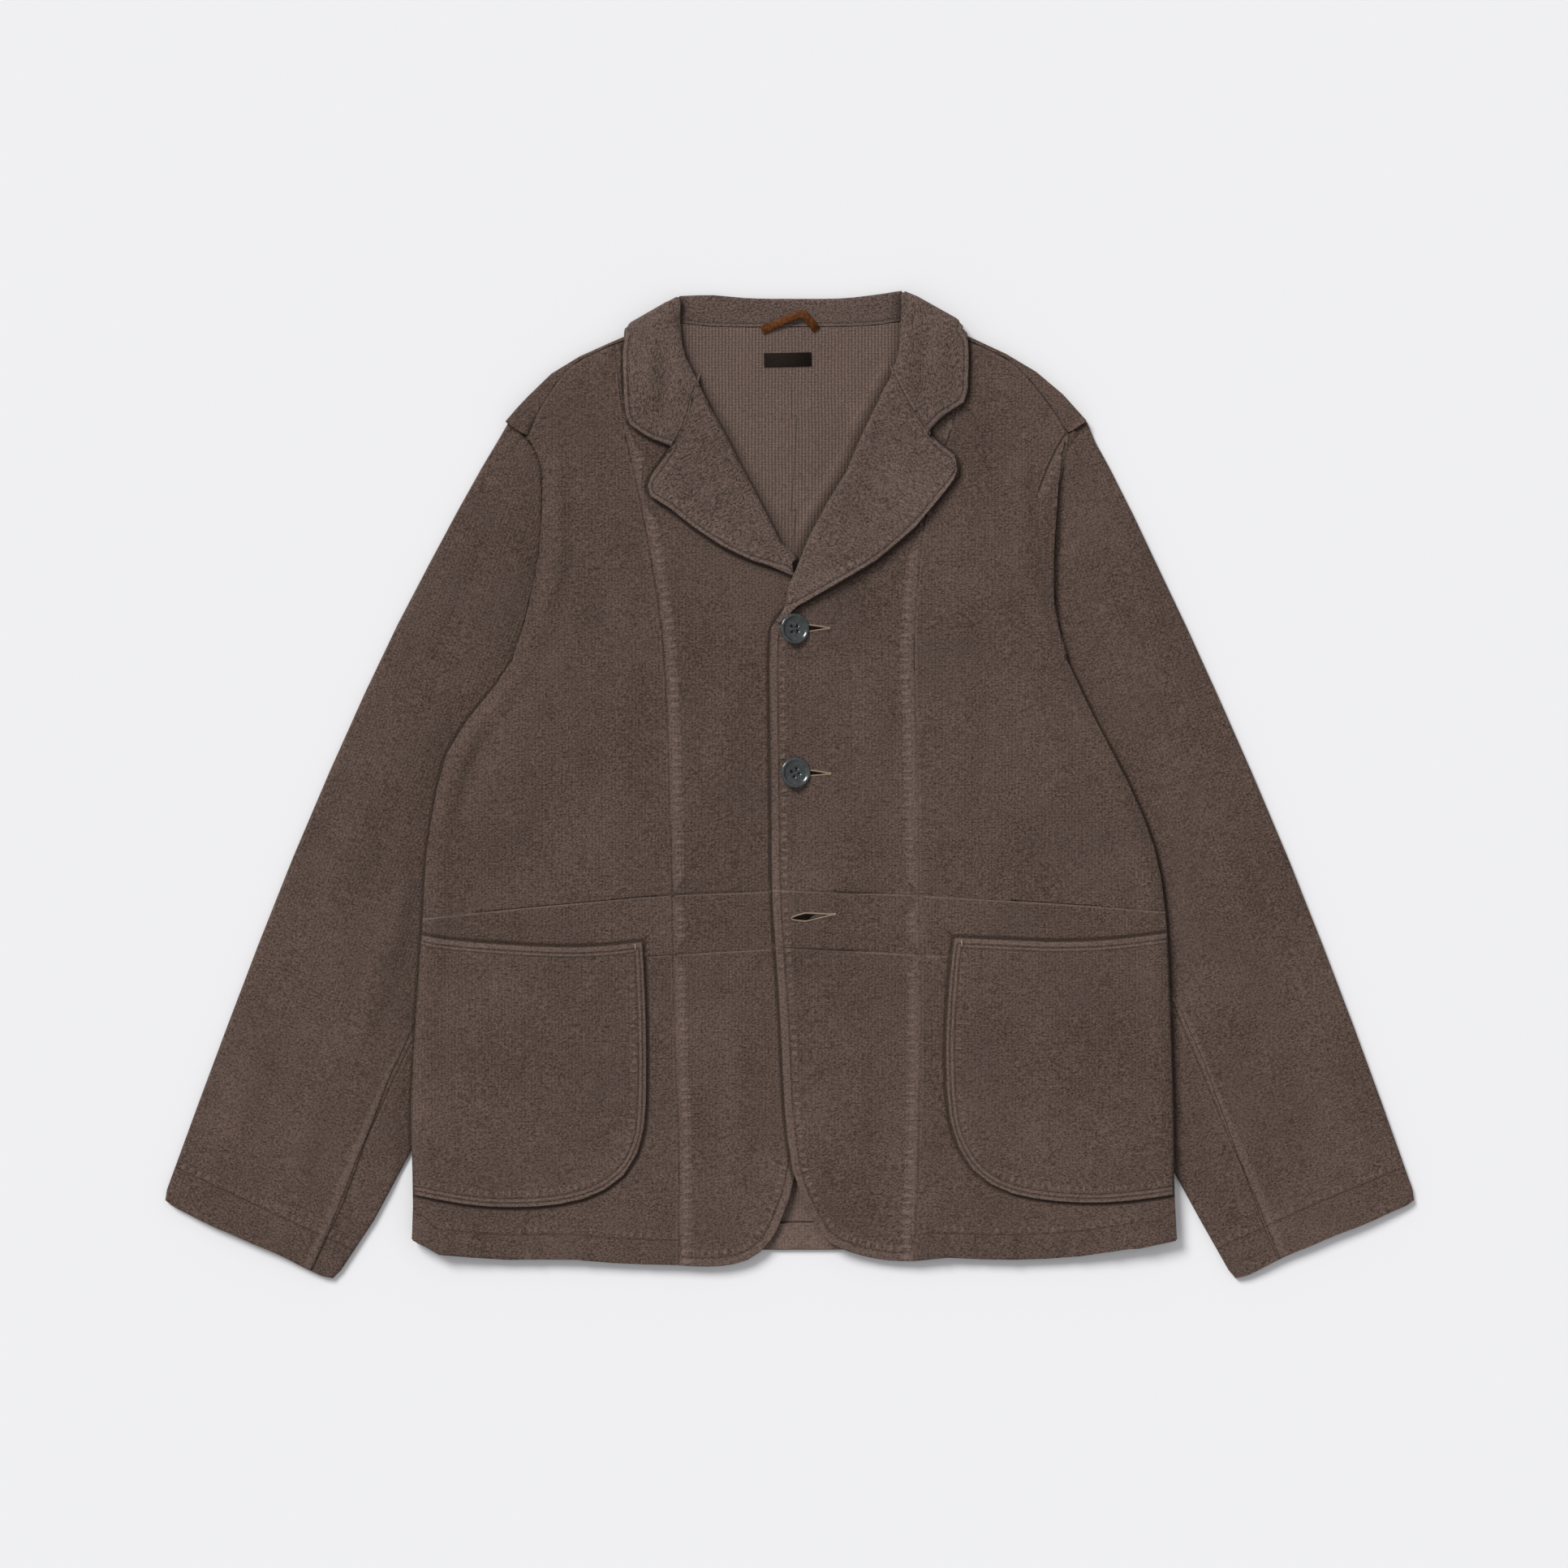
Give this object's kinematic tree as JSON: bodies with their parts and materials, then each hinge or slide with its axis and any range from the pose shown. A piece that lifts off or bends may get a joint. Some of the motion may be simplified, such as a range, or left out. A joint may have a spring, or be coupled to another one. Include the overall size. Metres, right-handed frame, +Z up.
{
  "type": "jacket",
  "caption": "Unlined single-breasted jacket in brushed corduroy, with notched lapels, a waist band and patch pockets, laid out flat on its back.",
  "frame": {"origin": "on the surface it lies on, under the middle of the laid-out garment", "axes": "+Z up from the surface, +Y from hem to collar, +X towards the wearer's left, from cuff to cuff"},
  "size_m": [0.9282, 0.7326, 0.0147],
  "materials": {
    "brushed_cloth": "brushed corduroy, matt",
    "collar_cloth": "brushed corduroy, matt",
    "ribbed_cloth": "fine ribbed inside, matt",
    "button": "semi-gloss",
    "leather_tape": "satin",
    "label_cloth": "woven, satin"
  },
  "bodies": {
    "root": {"back": "ribbed_cloth", "collar": "collar_cloth", "collar_stand": "collar_cloth", "hanger_loop": "leather_tape", "label_patch": "label_cloth", "button_top": "button", "button_middle": "button", "button_low": "button", "right_skirt_side": "brushed_cloth", "right_band_side": "brushed_cloth", "right_chest_side": "brushed_cloth", "right_skirt_centre": "brushed_cloth", "right_band_centre": "brushed_cloth", "right_chest_centre": "brushed_cloth", "right_pocket": "brushed_cloth", "right_sleeve_top": "brushed_cloth", "right_sleeve_under": "brushed_cloth", "right_lapel_facing": "collar_cloth", "left_skirt_side": "brushed_cloth", "left_band_side": "brushed_cloth", "left_chest_side": "brushed_cloth", "left_skirt_centre": "brushed_cloth", "left_band_centre": "brushed_cloth", "left_chest_centre": "brushed_cloth", "left_pocket": "brushed_cloth", "left_sleeve_top": "brushed_cloth", "left_sleeve_under": "brushed_cloth", "left_lapel_facing": "collar_cloth"}
  },
  "joints": []
}
